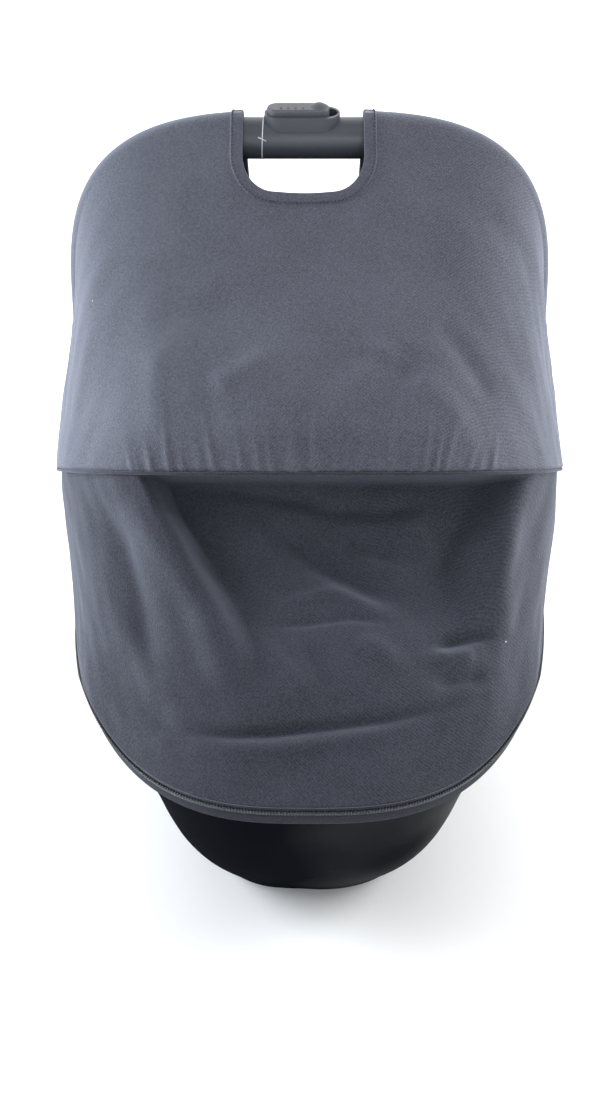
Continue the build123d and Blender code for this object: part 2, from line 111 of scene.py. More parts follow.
# How far the fabric leaves its plain surface, in metres.
HOOD_BELLY = 0.0115
HEM_TUCK = 0.0035
GATHER_HEIGHT = 0.0021
APRON_SAG = 0.010
APRON_BACK = 0.006
APRON_SIDE = 0.0075
HOLLOW_DOWN = 0.018
HOLLOW_BACK = 0.034

# Where the cutters of the hand cut-outs end, past the cloth: through it, and beyond its edge over the handle.
FRONT_CUT = (-0.10, 0.01)
REAR_CUT = (0.48, 0.62)
PAST_TOP = 0.660
PAST_NEAR = HUB_Y - 0.050

# Sizes of the trim, and of the painted shade line under the hem, in metres, with the two ends of the zip in
# degrees from the foot end.
BINDING_WIDTH = 0.0106
BINDING_HEIGHT = 0.0034
BINDING_OUT = 0.0045
STITCH_OUT = 0.0078
STITCH_LENGTH = 0.0031
STITCH_RADIUS = 0.0007
STITCH_LIFT = 0.0017
# Size and place of the dark strip under the hem, which is painted shade where the hem overhangs the apron.
SHADE_LINE_WIDTH = 0.0025
SHADE_LINE_HEIGHT = 0.0024
SHADE_LINE_OUT = 0.0001
SHADE_LINE_LIFT = -0.0014
ROLL_WIDTH = 0.0105
ROLL_HEIGHT = 0.0046
ROLL_OUT = 0.0044
ROLL_UP = -0.0020
REAR_EDGE_OUT = 0.0048
REAR_EDGE_UP = 0.0048
ZIP_WIDTH = 0.0110
ZIP_HEIGHT = 0.0016
ZIP_OUT = 0.0036
ZIP_UP = 0.0068
ZIP_END = 88
TOOTH_LENGTH = 0.0021
TOOTH_RADIUS = 0.0015
TOOTH_OUT = 0.0046
TAG_X = -0.0386
TAG_RADIUS = 0.00045

# Distance between the two curves whose difference gives a trim its normals.
OUTWARD_STEP = 0.010

# The front view: its eye, its tilt, its lens in millimetres and its sideways lens shift. Folds are
# placed as they look from there.
EYE = (0.0, -1.010, 0.628)
EYE_TILT = math.radians(22.9)
EYE_LENS = 37.36
EYE_SHIFT = -0.0014


# ---------------------------------------------------------------- curves and surfaces


def superellipse(angle, half_x, half_y, power):
    """Points of a superellipse, angle 0 at the foot end and 90 degrees at the +X side."""
    s = np.sin(angle)
    c = np.cos(angle)
    x = half_x * np.sign(s) * np.abs(s) ** (2 / power)
    y = -half_y * np.sign(c) * np.abs(c) ** (2 / power)
    return x, y


def rim_height(y):
    t = (y + RIM_HALF_LENGTH) / (2 * RIM_HALF_LENGTH)
    return RIM_FOOT_Z + RIM_RISE * t * (1 + RIM_CURVE * (1 - t))


def rim_curve(angle, outward, upward):
    """Points beside the rim of the hull, outside it and above it by the given distances."""
    levels = np.array(HULL_LEVELS)
    z = np.full_like(angle, RIM_FOOT_Z)
    for _ in range(8):
        half_x = np.interp(z, levels[:, 0], levels[:, 1]) + outward
        half_y = np.interp(z, levels[:, 0], levels[:, 2]) + outward
        x, y = superellipse(angle, half_x, half_y, HULL_POWER)
        y = np.where(y > 0, y * HEAD_SHARE, y)
        z = rim_height(y) + upward
    return np.stack([x, y, z], -1)


def resample(points, count):
    """Points evenly spaced along a polyline."""
    steps = np.linalg.norm(np.diff(points, axis=0), axis=1)
    along = np.concatenate([[0], np.cumsum(steps)])
    wanted = np.linspace(0, along[-1], count)
    return np.stack([np.interp(wanted, along, points[:, k]) for k in range(points.shape[1])], -1)


def smooth(x):
    x = np.clip(x, 0, 1)
    return x * x * (3 - 2 * x)


def arch_outline(count):
    """The fabric's line over the handle, in x and z, from the -X hub to the +X hub."""
    z = np.linspace(ARCH_FOOT, ARCH_Z, 40)[:-1]
    x = ARCH_HALF_WIDTH + ARCH_FLARE * smooth((0.450 - z) / 0.100)
    side = np.stack([x, z], -1)
    angle = np.linspace(-math.pi / 2, math.pi / 2, 400)
    crown_x, drop = superellipse(angle, ARCH_HALF_WIDTH, ARCH_TOP - ARCH_Z, ARCH_POWER)
    crown = np.stack([crown_x, ARCH_Z - drop], -1)
    line = np.concatenate([side * [-1, 1], crown, side[::-1]])
    return resample(line, count)


def hem_curve(grow, lift):
    """The hem of the hood, from the -X end round the front to the +X end."""
    angle = np.linspace(-math.pi / 2, math.pi / 2, 500)
    x, y = superellipse(angle, HEM_HALF_WIDTH + grow, HEM_REACH + grow, HEM_POWER)
    return np.stack([x, HEM_Y + y, HEM_SIDE_Z - HEM_RISE * y / HEM_REACH + lift], -1)


def hood_grid(edge, forward, wrap_angle, sag, bulge, columns, rows):
    """Grid from the arch, round the handle tube, and on to an edge curve."""
    outline = arch_outline(columns)
    run = np.gradient(outline, axis=0)
    normal = np.stack([-run[:, 1], run[:, 0]], -1)
    normal /= np.linalg.norm(normal, axis=1, keepdims=True)
    hold = np.clip((outline[:, 1] - 0.400) / 0.060, 0, 1)
    grid = []
    for angle in np.radians(np.linspace(0, wrap_angle, 10)):
        sink = (WRAP_RADIUS * (1 - math.cos(angle)) * hold)[:, None]
        flat = outline - sink * normal
        y = np.full(columns, HUB_Y + forward * (WRAP_RADIUS * math.sin(angle) + 0.0003))
        grid.append(np.stack([flat[:, 0], y, flat[:, 1]], -1))
    start = grid[-1]
    end = resample(edge, columns)
    across = np.linspace(0, 1, columns)
    for t in np.linspace(0, 1, rows)[1:]:
        hump = 4 * t * (1 - t)
        row = start + t * (end - start)
        row[:, 0] -= bulge * hump * np.cos(math.pi * across)
        row[:, 2] -= sag * hump * np.sin(math.pi * across)
        grid.append(row)
    return np.array(grid)


def grid_lengths(grid):
    """Distance along each row and each column of a grid, as cloth coordinates."""
    across = np.linalg.norm(np.diff(grid, axis=1), axis=2)
    u = np.concatenate([np.zeros((grid.shape[0], 1)), np.cumsum(across, axis=1)], 1)
    u -= u[:, u.shape[1] // 2][:, None]
    down = np.linalg.norm(np.diff(grid, axis=0), axis=2)
    v = np.concatenate([np.zeros((1, grid.shape[1])), np.cumsum(down, axis=0)], 0)
    return u, v


def grid_normals(grid, outward):
    """Unit normals of a grid, all on the side that outward points to at the grid's middle."""
    du = np.gradient(grid, axis=1)
    dv = np.gradient(grid, axis=0)
    normal = np.cross(du, dv)
    normal /= np.maximum(np.linalg.norm(normal, axis=2, keepdims=True), 1e-12)
    middle = normal[grid.shape[0] // 2, grid.shape[1] // 2]
    return normal if middle @ np.array(outward) > 0 else -normal


def waves(u, v, seed, size, terms):
    """Soft pseudo-random field from a few sine waves of about the given wavelength."""
    rng = np.random.default_rng(seed)
    total = np.zeros_like(u)
    for _ in range(terms):
        turn = rng.uniform(0, math.pi)
        scale = 2 * math.pi / (size * rng.uniform(0.7, 1.6))
        phase = rng.uniform(0, 2 * math.pi)
        total += np.sin(scale * (u * math.cos(turn) + v * math.sin(turn)) + phase)
    return total / math.sqrt(terms)


def front_view(points):
    """Where points appear from the eye, across and down, in metres on a plane a metre away."""
    back = points[..., 1] - EYE[1]
    drop = EYE[2] - points[..., 2]
    depth = back * math.cos(EYE_TILT) + drop * math.sin(EYE_TILT)
    across = points[..., 0] / depth
    down = (drop * math.cos(EYE_TILT) - back * math.sin(EYE_TILT)) / depth
    return across, down


def fold(view, line, width, height, ends=0.15):
    """Soft ridge, or groove when height is negative, along a line in the two coordinates of the view."""
    line = np.array(line, float)
    lengths = np.linalg.norm(np.diff(line, axis=0), axis=1)
    starts = np.concatenate([[0], np.cumsum(lengths)])
    nearest = np.full_like(view[0], 1e9)
    place = np.zeros_like(view[0])
    for a, b, size, start in zip(line, line[1:], lengths, starts):
        along = ((view[0] - a[0]) * (b[0] - a[0]) + (view[1] - a[1]) * (b[1] - a[1])) / size**2
        along = np.clip(along, 0, 1)
        gap = np.hypot(view[0] - a[0] - along * (b[0] - a[0]), view[1] - a[1] - along * (b[1] - a[1]))
        place = np.where(gap < nearest, (start + along * size) / starts[-1], place)
        nearest = np.minimum(gap, nearest)
    fade = smooth(place / ends) * smooth((1 - place) / ends)
    return height * (0.25 + 0.75 * fade) * np.exp(-((nearest / width) ** 2))


# ---------------------------------------------------------------- mesh helpers


def new_object(name, verts, faces, uvs=None):
    mesh = bpy.data.meshes.new(name)
    mesh.from_pydata([tuple(v) for v in verts], [], faces)
    if uvs is not None:
        layer = mesh.uv_layers.new(name="cloth")
        index = np.zeros(len(mesh.loops), np.int32)
        mesh.loops.foreach_get("vertex_index", index)
        layer.data.foreach_set("uv", np.asarray(uvs, np.float32)[index].ravel())
    for polygon in mesh.polygons:
        polygon.use_smooth = True
    obj = bpy.data.objects.new(name, mesh)
    bpy.context.scene.collection.objects.link(obj)
    return obj


def grid_object(name, grid, closed=False):
    """Quad mesh of a grid of points, with its cloth coordinates in metres."""
    rows, columns = grid.shape[:2]
    u, v = grid_lengths(grid)
    faces = []
    last = columns if closed else columns - 1
    for i in range(rows - 1):
        for j in range(last):
            k = (j + 1) % columns
            faces.append((i * columns + j, i * columns + k, (i + 1) * columns + k, (i + 1) * columns + j))
    uvs = np.stack([u.ravel(), v.ravel()], -1)
    return new_object(name, grid.reshape(-1, 3), faces, uvs)


def apply_modifiers(obj):
    """Makes the modified mesh the object's own and removes the modifiers."""
    graph = bpy.context.evaluated_depsgraph_get()
    mesh = bpy.data.meshes.new_from_object(obj.evaluated_get(graph), depsgraph=graph)
    obj.modifiers.clear()
    obj.data = mesh


def thicken(obj, thickness):
    """Gives a sheet its thickness, half of it on each side."""
    modifier = obj.modifiers.new("thickness", "SOLIDIFY")
    modifier.thickness = thickness
    modifier.offset = 0.0
    modifier.use_even_offset = True
    apply_modifiers(obj)


def cut(obj, cutter):
    """Subtracts a closed cutter object, and removes the cutter."""
    modifier = obj.modifiers.new("cut", "BOOLEAN")
    modifier.operation = "DIFFERENCE"
    modifier.solver = "EXACT"
    modifier.object = cutter
    apply_modifiers(obj)
    bpy.data.objects.remove(cutter)


def sweep(name, path, normals, section, closed=False):
    """Sweeps a closed section along a path. Section points are (sideways, along the normal)."""
    path = np.asarray(path)
    tangent = np.roll(path, -1, 0) - np.roll(path, 1, 0)
    if not closed:
        tangent[0] = path[1] - path[0]
        tangent[-1] = path[-1] - path[-2]
    tangent /= np.linalg.norm(tangent, axis=1, keepdims=True)
    normals = normals - (normals * tangent).sum(1, keepdims=True) * tangent
    normals /= np.linalg.norm(normals, axis=1, keepdims=True)
    side = np.cross(tangent, normals)
    steps = np.linalg.norm(np.diff(path, axis=0), axis=1)
    along = np.concatenate([[0], np.cumsum(steps)])
    section = np.asarray(section)
    around = np.concatenate([[0], np.cumsum(np.linalg.norm(np.diff(section, axis=0), axis=1))])
    count = len(section)
    verts = path[:, None] + section[None, :, :1] * side[:, None] + section[None, :, 1:] * normals[:, None]
    uvs = np.stack(np.meshgrid(along, around, indexing="ij"), -1)
    faces = []
    turns = len(path) if closed else len(path) - 1
    for i in range(turns):
        n = (i + 1) % len(path)
        for j in range(count):
            k = (j + 1) % count
            faces.append((i * count + j, i * count + k, n * count + k, n * count + j))
    if not closed:
        faces.append(tuple(range(count))[::-1])
        faces.append(tuple((len(path) - 1) * count + j for j in range(count)))
    return new_object(name, verts.reshape(-1, 3), faces, uvs.reshape(-1, 2))


def pill(width, height, count=10):
    """Section of a soft flat strip: a rectangle with fully rounded ends."""
    r = height / 2
    points = []
    for centre, start in ((width / 2 - r, -90), (-(width / 2 - r), 90)):
        for angle in np.radians(np.linspace(start, start + 180, count)):
            points.append((centre + r * math.cos(angle), r * math.sin(angle)))
    return points


# ---------------------------------------------------------------- materials


class Nodes:
    """Short way to build a node material."""

    def __init__(self, name):
        self.material = bpy.data.materials.new(name)
        self.material.use_nodes = True
        self.tree = self.material.node_tree
        self.tree.nodes.clear()
        self.output = self.tree.nodes.new("ShaderNodeOutputMaterial")
        self.shader = self.tree.nodes.new("ShaderNodeBsdfPrincipled")
        self.link(self.shader.outputs["BSDF"], self.output.inputs["Surface"])

    def link(self, a, b):
        self.tree.links.new(a, b)

    def add(self, kind, **values):
        node = self.tree.nodes.new(kind)
        for key, value in values.items():
            if key in node.inputs:
                node.inputs[key].default_value = value
            else:
                setattr(node, key, value)
        return node

    def math(self, operation, a, b=None):
        node = self.tree.nodes.new("ShaderNodeMath")
        node.operation = operation
        for index, value in enumerate((a, b)):
            if value is None:
                continue
            if isinstance(value, (int, float)):
                node.inputs[index].default_value = value
            else:
                self.link(value, node.inputs[index])
        return node.outputs[0]

    def ramp(self, value, low, high, dark, light):
        node = self.add("ShaderNodeValToRGB")
        node.color_ramp.elements[0].position = low
        node.color_ramp.elements[1].position = high
        node.color_ramp.elements[0].color = (*dark, 1)
        node.color_ramp.elements[1].color = (*light, 1)
        self.link(value, node.inputs["Fac"])
        return node.outputs["Color"]

    def set(self, **values):
        for key, value in values.items():
            self.shader.inputs[key.replace("_", " ")].default_value = value

    def bump(self, height, strength, distance):
        node = self.add("ShaderNodeBump", Strength=strength, Distance=distance)
        self.link(height, node.inputs["Height"])
        self.link(node.outputs["Normal"], self.shader.inputs["Normal"])


def twill(name, dark, light, pitch=0.0019, depth=0.45, sheen=0.35):
    """Diagonal weave in cloth coordinates, with slubs, soft colour drift, a few specks of lint and sheen."""
    n = Nodes(name)
    uv = n.add("ShaderNodeUVMap", uv_map="cloth")
    split = n.add("ShaderNodeSeparateXYZ")
    n.link(uv.outputs["UV"], split.inputs[0])
    u, v = split.outputs["X"], split.outputs["Y"]
    turn = 2 * math.pi / pitch
    coordinates = n.add("ShaderNodeTexCoord")
    wander = n.add("ShaderNodeTexNoise", Scale=260.0, Detail=2.0)
    fine = n.add("ShaderNodeTexNoise", Scale=760.0, Detail=2.0)
    drift = n.add("ShaderNodeTexNoise", Scale=14.0, Detail=3.0)
    for node in (wander, fine, drift):
        n.link(coordinates.outputs["Object"], node.inputs["Vector"])
    slub = n.math("MULTIPLY", wander.outputs["Fac"], 7.0)
    rib = n.math("SINE", n.math("ADD", n.math("MULTIPLY", n.math("ADD", u, v), turn * 0.72), slub))
    slant = n.math("SUBTRACT", n.math("MULTIPLY", u, 0.45), v)
    yarn = n.math("SINE", n.math("MULTIPLY", slant, turn * 2.3))
    weave = n.math("ADD", n.math("MULTIPLY", rib, 0.15), n.math("MULTIPLY", yarn, 0.03))
    weave = n.math("ADD", weave, n.math("MULTIPLY", n.math("SUBTRACT", fine.outputs["Fac"], 0.5), 2.0))
    tone = n.math("ADD", n.math("MULTIPLY", weave, 0.60), n.math("MULTIPLY", drift.outputs["Fac"], 0.35))
    colour = n.ramp(n.math("ADD", tone, 0.33), 0.15, 0.85, dark, light)
    cells = n.add("ShaderNodeTexVoronoi", Scale=22.0)
    n.link(coordinates.outputs["Object"], cells.inputs["Vector"])
    pick = n.add("ShaderNodeSeparateXYZ")
    n.link(cells.outputs["Color"], pick.inputs[0])
    dot = n.math("LESS_THAN", cells.outputs["Distance"], 0.015)
    lint = n.math("MULTIPLY", dot, n.math("LESS_THAN", pick.outputs["X"], 0.34))
    speck = n.add("ShaderNodeMixRGB", Color2=(0.50, 0.51, 0.53, 1))
    n.link(lint, speck.inputs["Fac"])
    n.link(colour, speck.inputs["Color1"])
    n.link(speck.outputs["Color"], n.shader.inputs["Base Color"])
    n.set(Roughness=0.82, Specular_IOR_Level=0.3)
    n.set(Sheen_Weight=sheen, Sheen_Roughness=0.45, Sheen_Tint=(0.75, 0.82, 1.0, 1))
    n.bump(weave, depth, 0.0005)
    return n.material


def plastic(name, colour, roughness, grain, depth, coat=0.0, scale=1500.0, shine=0.5, smear=0.0):
    """Moulded plastic with a fine grain, faint tone drift, and optional polish with uneven smears."""
    n = Nodes(name)
    coordinates = n.add("ShaderNodeTexCoord")
    grains = n.add("ShaderNodeTexNoise", Scale=scale, Detail=3.0)
    drift = n.add("ShaderNodeTexNoise", Scale=9.0, Detail=4.0)
    for node in (grains, drift):
        n.link(coordinates.outputs["Object"], node.inputs["Vector"])
    fine = n.math("MULTIPLY", grains.outputs["Fac"], grain)
    mix = n.math("ADD", fine, n.math("MULTIPLY", drift.outputs["Fac"], 1 - grain))
    low = [c * 0.85 for c in colour]
    high = [min(1.0, c * 1.15 + 0.002) for c in colour]
    n.link(n.ramp(mix, 0.3, 0.7, low, high), n.shader.inputs["Base Color"])
    rough = n.math("ADD", n.math("MULTIPLY", drift.outputs["Fac"], 0.12), roughness - 0.06)
    n.link(rough, n.shader.inputs["Roughness"])
    n.set(Coat_Weight=coat, Coat_Roughness=0.04, Specular_IOR_Level=shine)
    if smear:
        film = n.add("ShaderNodeTexNoise", Scale=7.0, Detail=1.0)
        n.link(coordinates.outputs["Object"], film.inputs["Vector"])
        patch = n.math("MAXIMUM", n.math("SUBTRACT", film.outputs["Fac"], 0.52), 0.0)
        share = n.math("MULTIPLY", patch, smear)
        n.link(n.math("ADD", share, coat), n.shader.inputs["Coat Weight"])
    n.bump(grains.outputs["Fac"], depth, 0.0002)
    return n.material


def metal(name, colour, roughness):
    """Metal with fine brushing."""
    n = Nodes(name)
    coordinates = n.add("ShaderNodeTexCoord")
    stretch = n.add("ShaderNodeMapping", Scale=(40.0, 900.0, 900.0))
    n.link(coordinates.outputs["Object"], stretch.inputs["Vector"])
    brush = n.add("ShaderNodeTexNoise", Scale=1.0, Detail=3.0)
    n.link(stretch.outputs["Vector"], brush.inputs["Vector"])
    tone = n.ramp(brush.outputs["Fac"], 0.3, 0.7, [c * 0.85 for c in colour], colour)
    n.link(tone, n.shader.inputs["Base Color"])
    rough = n.math("ADD", n.math("MULTIPLY", brush.outputs["Fac"], 0.2), roughness - 0.1)
    n.link(rough, n.shader.inputs["Roughness"])
    n.set(Metallic=1.0)
    n.bump(brush.outputs["Fac"], 0.1, 0.0002)
    return n.material


def webbing(name, colour):
    """Woven strap with cross ribs."""
    n = Nodes(name)
    coordinates = n.add("ShaderNodeTexCoord")
    split = n.add("ShaderNodeSeparateXYZ")
    n.link(coordinates.outputs["Object"], split.inputs[0])
    ribs = n.math("SINE", n.math("MULTIPLY", split.outputs["Y"], 2 * math.pi / 0.0016))
    cords = n.math("SINE", n.math("MULTIPLY", split.outputs["X"], 2 * math.pi / 0.0022))
    weave = n.math("ADD", n.math("MULTIPLY", ribs, 0.5), n.math("MULTIPLY", cords, 0.3))
    n.link(n.ramp(weave, -0.6, 0.8, [c * 0.6 for c in colour], colour), n.shader.inputs["Base Color"])
    n.set(Roughness=0.7, Sheen_Weight=0.2)
    n.bump(weave, 0.5, 0.0004)
    return n.material


def dress(obj, material, body=None):
    """Gives a piece its only material and the body it rides on."""
    obj.data.materials.clear()
    obj.data.materials.append(material)
    if body:
        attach(obj, body)


def make_materials():
    """The materials by name. A frame slot has the material of its own name."""
    tape = {"pitch": 0.0011, "depth": 0.3}
    gloss = {"coat": 0.02, "shine": 0.0, "smear": 0.9}
    return {
        "cover_fabric": twill("hood_twill", (0.030, 0.033, 0.045), (0.098, 0.103, 0.131)),
        # The apron is the same cloth as the hood, made darker as painted shade over the foot end.
        "apron_fabric": twill("apron_twill_painted_shade", (0.009, 0.0104, 0.016), (0.043, 0.047, 0.065), sheen=0.22),
        "edge_binding": twill("binding_tape", (0.030, 0.032, 0.043), (0.085, 0.090, 0.115), **tape),
        # Thread colour for the stitches, also used for the painted shade line under the hem.
        "thread": twill("stitch_thread_and_hem_shade", (0.010, 0.011, 0.016), (0.030, 0.032, 0.042), 0.0008, 0.6),
        "tag_thread": twill("tag_thread", (0.55, 0.55, 0.56), (0.85, 0.85, 0.86), 0.0007, 0.5),
        "zip": twill("zip_tape", (0.006, 0.006, 0.009), (0.022, 0.023, 0.030), 0.0010, 0.5),
        "teeth": plastic("zip_teeth", (0.030, 0.031, 0.036), 0.25, 0.2, 0.05, coat=0.5),
        "shell": plastic("shell_gloss", (0.0020, 0.0021, 0.0040), 0.30, 0.05, 0.012, **gloss),
        "rim_tape": twill("rim_tape", (0.005, 0.0055, 0.009), (0.020, 0.022, 0.032), sheen=0.04, **tape),
        "handle_plastic": plastic("handle_grain", (0.046, 0.051, 0.064), 0.46, 0.5, 0.30),
        "button_plastic": plastic("button_grain", (0.060, 0.064, 0.076), 0.50, 0.4, 0.20),
        "dark_plastic": plastic("dark_moulding", (0.020, 0.020, 0.023), 0.5, 0.4, 0.25),
        "foam": plastic("foam_beads", (0.035, 0.035, 0.038), 0.85, 0.7, 0.8, scale=260.0),
        "lining": twill("jersey_lining", (0.20, 0.20, 0.21), (0.34, 0.34, 0.36), 0.0016, 0.4),
        "webbing": webbing("strap_weave", (0.030, 0.031, 0.036)),
        "red_plastic": plastic("red_moulding", (0.45, 0.015, 0.015), 0.28, 0.2, 0.08, coat=0.3),
        "steel": metal("zinc_steel", (0.55, 0.56, 0.58), 0.35),
        "rubber": plastic("foot_rubber", (0.018, 0.018, 0.018), 0.75, 0.6, 0.5),
    }


def dress_frame(materials):
    """Puts the node materials on the CAD nodes that stay in view."""
    for row in frame["record"]["subparts"]:
        node = frame["nodes"][row["node"]]
        node.data.materials.clear()
        node.data.materials.append(materials[row["material_slot"]])


# ---------------------------------------------------------------- fabric pieces


def hood_folds(view):
    """Soft folds of the front of the hood. Each has its line, its width and its height."""
    lines = (
        ([(0.075, -0.178), (0.036, -0.134), (0.011, -0.084)], 0.014, 0.0024),
        ([(0.097, -0.174), (0.064, -0.121), (0.055, -0.081)], 0.016, -0.0024),
        ([(-0.114, -0.306), (-0.140, -0.253), (-0.149, -0.191)], 0.026, 0.0016),
        ([(0.115, -0.314), (0.141, -0.262), (0.150, -0.191)], 0.026, 0.0016),
        ([(-0.134, -0.174), (-0.132, -0.138), (-0.133, -0.099)], 0.011, 0.0016),
        ([(-0.082, -0.134), (-0.061, -0.149), (-0.037, -0.165)], 0.010, 0.0018),
        ([(0.037, -0.163), (0.062, -0.158), (0.090, -0.145)], 0.010, -0.0022),
        ([(0.108, -0.196), (0.128, -0.174), (0.157, -0.128)], 0.011, -0.0026),
        ([(0.089, -0.143), (0.111, -0.129), (0.134, -0.101)], 0.012, 0.0026),
        ([(-0.092, -0.156), (-0.083, -0.112), (-0.086, -0.081)], 0.012, -0.0014),
    )
    return sum(fold(view, line, width, height) for line, width, height in lines)


def hem_gathers(s, t, seed):
    """Small irregular gathers that fade out above a hem at t = 1."""
    rng = np.random.default_rng(seed)
    total = np.zeros_like(s)
    for centre in np.linspace(-0.42, 0.42, 26):
        at = centre + rng.uniform(-0.012, 0.012)
        size = rng.uniform(0.4, 1.0)
        lean = rng.uniform(-0.10, 0.10)
        reach = rng.uniform(0.05, 0.11)
        line = s - at - lean * (1 - t)
        total += size * np.exp(-((line / 0.007) ** 2)) * np.exp(-(((1 - t) / reach) ** 2))
    return total * GATHER_HEIGHT * smooth((0.50 - np.abs(s)) / 0.1)


def hand_cutter(front):
    """Closed U-shaped cutter that runs along Y for the front cut-out, or along Z for the rear one."""
    name, reach = ("front_cutter", FRONT_CUT) if front else ("rear_cutter", REAR_CUT)
    outline = hand_outline(front)
    count = len(outline)
    verts = []
    for level in reach:
        for a, b in outline:
            verts.append((a, level, b) if front else (a, b, level))
    faces = [tuple(range(count)), tuple(range(2 * count - 1, count - 1, -1))]
    for j in range(count):
        k = (j + 1) % count
        faces.append((j, count + j, count + k, k))
    obj = new_object(name, verts, faces)
    mesh = bmesh.new()
    mesh.from_mesh(obj.data)
    bmesh.ops.recalc_face_normals(mesh, faces=mesh.faces)
    mesh.to_mesh(obj.data)
    mesh.free()
    return obj


def hand_edge(front, grow=0.0, count=41):
    """The open U of a hand cut-out, from one top end round the bottom to the other."""
    half = HAND_HALF_WIDTH + grow
    radius = HAND_CORNER + grow
    quarter = np.linspace(0, math.pi / 2, count)
    turn_x = half - radius + radius * np.cos(quarter[::-1])
    turn_drop = radius * (1 - np.sin(quarter[::-1]))
    belly = np.linspace(radius - half, half - radius, 21)
    flat = -0.0012 * (1 - (belly / (half - radius)) ** 2)
    x = np.concatenate([-turn_x[::-1], belly[1:-1], turn_x])
    rise = np.concatenate([turn_drop[::-1], flat[1:-1], turn_drop]) - grow
    if front:
        ends = (HAND_TOP,)
        level = HAND_BOTTOM + rise
    else:
        ends = (HAND_NEAR,)
        level = HAND_REAR - rise
    x = np.concatenate([[-half], x, [half]]) + HAND_CENTRE
    level = np.concatenate([ends, level, ends])
    return np.stack([x, level], -1)


def hand_outline(front):
    """Closed outline of a hand cut-out, reaching past the edge of its panel."""
    u = hand_edge(front)
    far = PAST_TOP if front else PAST_NEAR
    return np.concatenate([u, [[u[-1, 0], far], [u[0, 0], far]]])


def surface_tree(obj):
    graph = bpy.context.evaluated_depsgraph_get()
    return BVHTree.FromObject(obj, graph)


def lay_on(tree, points, start, direction):
    """Drops points on to a surface along a direction, with the surface normals."""
    places, normals = [], []
    for p in points:
        origin = Vector(p) - Vector(direction) * start
        hit, normal, _, _ = tree.ray_cast(origin, Vector(direction))
        if hit is None:
            continue
        if normal.dot(Vector(direction)) > 0:
            normal = -normal
        places.append(tuple(hit))
        normals.append(tuple(normal))
    return np.array(places), np.array(normals)


def smooth_path(points, passes=2):
    points = points.copy()
    for _ in range(passes):
        points[1:-1] = (points[:-2] + 2 * points[1:-1] + points[2:]) / 4
    return points


def edge_on_panel(tree, front, grow, count):
    """A line round a hand cut-out, laid on the uncut panel, with the panel's normals."""
    edge = resample(hand_edge(front, grow), count)
    if front:
        points = np.stack([edge[:, 0], np.full(count, HUB_Y - 0.003), edge[:, 1]], -1)
        return lay_on(tree, points, 0.2, (0, 1, 0))
    points = np.stack([edge[:, 0], edge[:, 1], np.full(count, 0.55)], -1)
    return lay_on(tree, points, 0.2, (0, 0, -1))


def bind_edge(name, whole, front, materials):
    """Binding tape round a hand cut-out, with its row of stitches, laid on the uncut panel."""
    tree = surface_tree(whole)
    path, normals = edge_on_panel(tree, front, BINDING_OUT, 150)
    path = smooth_path(path + normals * 0.0002)
    tape = sweep(name, path, smooth_path(normals, 6), pill(BINDING_WIDTH, BINDING_HEIGHT))
    path, normals = edge_on_panel(tree, front, STITCH_OUT, 900)
    normals = smooth_path(normals, 8)
    path = path + normals * STITCH_LIFT
    stitches = stitch_row(name + "_stitches", path, normals, STITCH_LENGTH, STITCH_RADIUS)
    dress(tape, materials["edge_binding"])
    dress(stitches, materials["thread"])
    return tape, stitches


def finish_hood(name, grid, front, materials, node):
    """Bound and cut hood panel over one CAD node, from its grid."""
    whole = grid_object(name, grid)
    tape, stitches = bind_edge(name + "_binding", whole, front, materials)
    thicken(whole, CLOTH)
    cut(whole, hand_cutter(front))
    for polygon in whole.data.polygons:
        polygon.use_smooth = True
    dress(whole, materials["cover_fabric"])
    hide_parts(node)
    declare_sheet(whole, grid)
    return whole, tape, stitches


def panel_shares(rows, columns):
    """Share of each grid point along its row, from -1 to 1, and along its column, from 0 to 1."""
    s = np.linspace(-1, 1, columns)[None, :] * np.ones((rows, 1))
    t = np.linspace(0, 1, rows)[:, None] * np.ones((1, columns))
    return s, t


def stitch_row(name, path, normals, length, radius):
    """Row of separate thread stitches pressed into the cloth along a dense path."""
    steps = np.linalg.norm(np.diff(path, axis=0), axis=1)
    along = np.concatenate([[0], np.cumsum(steps)])
    verts, faces, uvs = [], [], []
    sides, rings = 6, 7
    start = 0.0
    while start + length < along[-1]:
        at = np.linspace(start, start + length * 0.78, rings)
        centre = np.stack([np.interp(at, along, path[:, k]) for k in range(3)], -1)
        up = np.stack([np.interp(at, along, normals[:, k]) for k in range(3)], -1)
        tangent = centre[-1] - centre[0]
        tangent /= np.linalg.norm(tangent)
        first = len(verts)
        for i in range(rings):
            side = np.cross(tangent, up[i])
            side /= np.linalg.norm(side)
            arch = math.sin(math.pi * i / (rings - 1))
            for j in range(sides):
                turn = 2 * math.pi * j / sides
                r = radius * (0.35 + 0.65 * arch)
                lift = radius * (0.9 * arch - 0.3)
                verts.append(centre[i] + side * r * math.cos(turn) + up[i] * (r * math.sin(turn) + lift))
                uvs.append((at[i], turn * radius))
        for i in range(rings - 1):
            for j in range(sides):
                k = (j + 1) % sides
                a = first + i * sides
                faces.append((a + j, a + k, a + sides + k, a + sides + j))
        faces.append(tuple(first + j for j in range(sides))[::-1])
        faces.append(tuple(first + (rings - 1) * sides + j for j in range(sides)))
        start += length
    return new_object(name, verts, faces, uvs)


def flat_size(obj, grid):
    """Width and length of a panel laid flat, and its area."""
    u, v = grid_lengths(grid)
    area = 0.5 * sum(p.area for p in obj.data.polygons)
    width = float((u[:, -1] - u[:, 0]).max())
    length = float(v[-1].max())
    return (width, length), area


def declare_sheet(obj, grid):
    """Works out the cut size of a panel, whose area has both faces of the cloth, and keeps nothing of it."""
    (width, length), area = flat_size(obj, grid)


